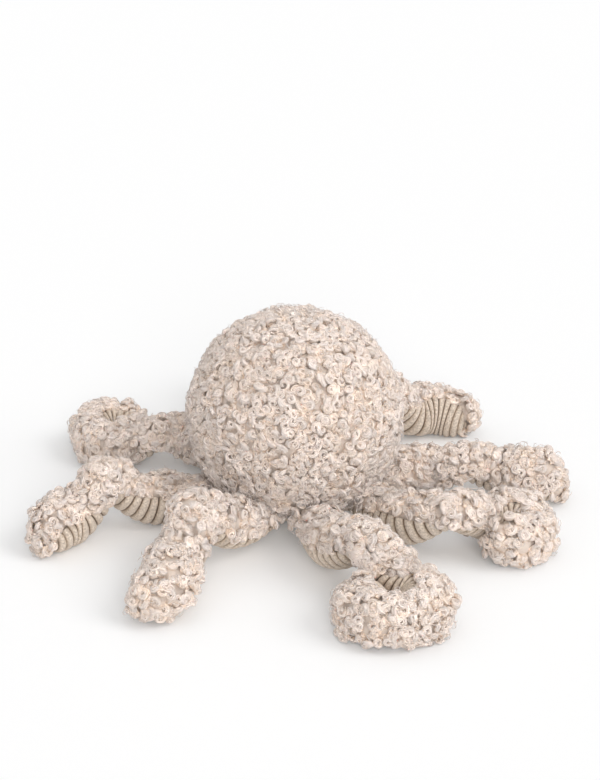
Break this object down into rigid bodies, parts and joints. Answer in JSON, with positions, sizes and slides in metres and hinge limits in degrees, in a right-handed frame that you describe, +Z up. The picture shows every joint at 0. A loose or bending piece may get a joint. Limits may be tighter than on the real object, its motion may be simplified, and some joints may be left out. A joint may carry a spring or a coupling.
{
  "type": "plush squid",
  "caption": "Soft plush squid: a round stuffed head in curly pile cloth that sits on a small flat base, with sprung arms lined in wide corduroy, most of them curled at the tip.",
  "frame": {"origin": "on the floor, at the middle of the flat foot of the base panel, under the head's centre", "axes": "+Z up through the head; -Y towards the front, which the picture shows; +X to the toy's side that is right in the picture"},
  "size_m": [0.3177, 0.3307, 0.1269],
  "materials": {
    "pile_cloth": "matte",
    "corduroy": "matte",
    "filling": "matte"
  },
  "bodies": {
    "head": {"head_panel_front": "pile_cloth", "head_panel_right": "pile_cloth", "head_panel_back": "pile_cloth", "head_panel_left": "pile_cloth", "base_panel": "corduroy", "head_filling": "filling"},
    "right_arm_inner": {"right_arm_inner_back": "pile_cloth", "right_arm_inner_belly": "corduroy", "right_arm_inner_filling": "filling"},
    "right_arm_outer": {"right_arm_outer_back": "pile_cloth", "right_arm_outer_belly": "corduroy", "right_arm_outer_filling": "filling"},
    "rear_right_arm_inner": {"rear_right_arm_inner_back": "pile_cloth", "rear_right_arm_inner_belly": "corduroy", "rear_right_arm_inner_filling": "filling"},
    "rear_right_arm_outer": {"rear_right_arm_outer_back": "pile_cloth", "rear_right_arm_outer_belly": "corduroy", "rear_right_arm_outer_filling": "filling"},
    "rear_arm_inner": {"rear_arm_inner_back": "pile_cloth", "rear_arm_inner_belly": "corduroy", "rear_arm_inner_filling": "filling"},
    "rear_arm_outer": {"rear_arm_outer_back": "pile_cloth", "rear_arm_outer_belly": "corduroy", "rear_arm_outer_filling": "filling"},
    "rear_left_arm_inner": {"rear_left_arm_inner_back": "pile_cloth", "rear_left_arm_inner_belly": "corduroy", "rear_left_arm_inner_filling": "filling"},
    "rear_left_arm_outer": {"rear_left_arm_outer_back": "pile_cloth", "rear_left_arm_outer_belly": "corduroy", "rear_left_arm_outer_filling": "filling"},
    "left_arm_inner": {"left_arm_inner_back": "pile_cloth", "left_arm_inner_belly": "corduroy", "left_arm_inner_filling": "filling"},
    "left_arm_outer": {"left_arm_outer_back": "pile_cloth", "left_arm_outer_belly": "corduroy", "left_arm_outer_filling": "filling"},
    "front_left_arm_inner": {"front_left_arm_inner_back": "pile_cloth", "front_left_arm_inner_belly": "corduroy", "front_left_arm_inner_filling": "filling"},
    "front_left_arm_outer": {"front_left_arm_outer_back": "pile_cloth", "front_left_arm_outer_belly": "corduroy", "front_left_arm_outer_filling": "filling"},
    "front_right_arm_inner": {"front_right_arm_inner_back": "pile_cloth", "front_right_arm_inner_belly": "corduroy", "front_right_arm_inner_filling": "filling"},
    "front_right_arm_outer": {"front_right_arm_outer_back": "pile_cloth", "front_right_arm_outer_belly": "corduroy", "front_right_arm_outer_filling": "filling"},
    "right_front_arm_inner": {"right_front_arm_inner_back": "pile_cloth", "right_front_arm_inner_belly": "corduroy", "right_front_arm_inner_filling": "filling"},
    "right_front_arm_outer": {"right_front_arm_outer_back": "pile_cloth", "right_front_arm_outer_belly": "corduroy", "right_front_arm_outer_filling": "filling"}
  },
  "joints": [
    {"name": "right_arm_root", "type": "hinge", "parent": "head", "child": "right_arm_inner", "pos_m": [0.0427, 0.01387, 0.015], "axis": [0.309, -0.9511, 0], "range_deg": [-40, 15], "stiffness_Nm_per_rad": 0.03},
    {"name": "right_arm_elbow", "type": "hinge", "parent": "right_arm_inner", "child": "right_arm_outer", "pos_m": [0.10659, 0.01465, 0.019], "axis": [-0.1489, -0.9888, 0], "range_deg": [-8, 45], "stiffness_Nm_per_rad": 0.012},
    {"name": "rear_right_arm_root", "type": "hinge", "parent": "head", "child": "rear_right_arm_inner", "pos_m": [0.02379, 0.03808, 0.015], "axis": [0.848, -0.5299, 0], "range_deg": [-40, 15], "stiffness_Nm_per_rad": 0.03},
    {"name": "rear_right_arm_elbow", "type": "hinge", "parent": "rear_right_arm_inner", "child": "rear_right_arm_outer", "pos_m": [0.05866, 0.08822, 0.035], "axis": [0.4907, -0.8713, 0], "range_deg": [-8, 45], "stiffness_Nm_per_rad": 0.012},
    {"name": "rear_arm_root", "type": "hinge", "parent": "head", "child": "rear_arm_inner", "pos_m": [-0.00625, 0.04446, 0.015], "axis": [0.9903, 0.1392, 0], "range_deg": [-40, 15], "stiffness_Nm_per_rad": 0.03},
    {"name": "rear_arm_elbow", "type": "hinge", "parent": "rear_arm_inner", "child": "rear_arm_outer", "pos_m": [-0.01741, 0.10954, 0.036], "axis": [0.9978, 0.0656, 0], "range_deg": [-8, 45], "stiffness_Nm_per_rad": 0.012},
    {"name": "rear_left_arm_root", "type": "hinge", "parent": "head", "child": "rear_left_arm_inner", "pos_m": [-0.0344, 0.02886, 0.015], "axis": [0.6428, 0.766, 0], "range_deg": [-40, 15], "stiffness_Nm_per_rad": 0.03},
    {"name": "rear_left_arm_elbow", "type": "hinge", "parent": "rear_left_arm_inner", "child": "rear_left_arm_outer", "pos_m": [-0.08421, 0.06283, 0.017], "axis": [-0.0872, 0.9962, 0], "range_deg": [-8, 45], "stiffness_Nm_per_rad": 0.012},
    {"name": "left_arm_root", "type": "hinge", "parent": "head", "child": "left_arm_inner", "pos_m": [-0.04422, -0.0078, 0.015], "axis": [-0.1736, 0.9848, 0], "range_deg": [-40, 15], "stiffness_Nm_per_rad": 0.03},
    {"name": "left_arm_elbow", "type": "hinge", "parent": "left_arm_inner", "child": "left_arm_outer", "pos_m": [-0.11356, -0.02916, 0.033], "axis": [-0.6752, 0.7376, 0], "range_deg": [-8, 45], "stiffness_Nm_per_rad": 0.012},
    {"name": "front_left_arm_root", "type": "hinge", "parent": "head", "child": "front_left_arm_inner", "pos_m": [-0.01898, -0.04069, 0.015], "axis": [-0.9063, 0.4226, 0], "range_deg": [-40, 15], "stiffness_Nm_per_rad": 0.03},
    {"name": "front_left_arm_elbow", "type": "hinge", "parent": "front_left_arm_inner", "child": "front_left_arm_outer", "pos_m": [-0.05739, -0.07574, 0.036], "axis": [-0.958, 0.2869, 0], "range_deg": [-8, 45], "stiffness_Nm_per_rad": 0.012},
    {"name": "front_right_arm_root", "type": "hinge", "parent": "head", "child": "front_right_arm_inner", "pos_m": [0.01162, -0.04337, 0.015], "axis": [-0.9659, -0.2588, 0], "range_deg": [-40, 15], "stiffness_Nm_per_rad": 0.03},
    {"name": "front_right_arm_elbow", "type": "hinge", "parent": "front_right_arm_inner", "child": "front_right_arm_outer", "pos_m": [0.04081, -0.10595, 0.034], "axis": [-0.6795, -0.7337, 0], "range_deg": [-8, 45], "stiffness_Nm_per_rad": 0.012},
    {"name": "right_front_arm_root", "type": "hinge", "parent": "head", "child": "right_front_arm_inner", "pos_m": [0.03927, -0.02177, 0.015], "axis": [-0.4848, -0.8746, 0], "range_deg": [-40, 15], "stiffness_Nm_per_rad": 0.03},
    {"name": "right_front_arm_elbow", "type": "hinge", "parent": "right_front_arm_inner", "child": "right_front_arm_outer", "pos_m": [0.08797, -0.06592, 0.03], "axis": [0.4588, -0.8885, 0], "range_deg": [-8, 45], "stiffness_Nm_per_rad": 0.012}
  ]
}
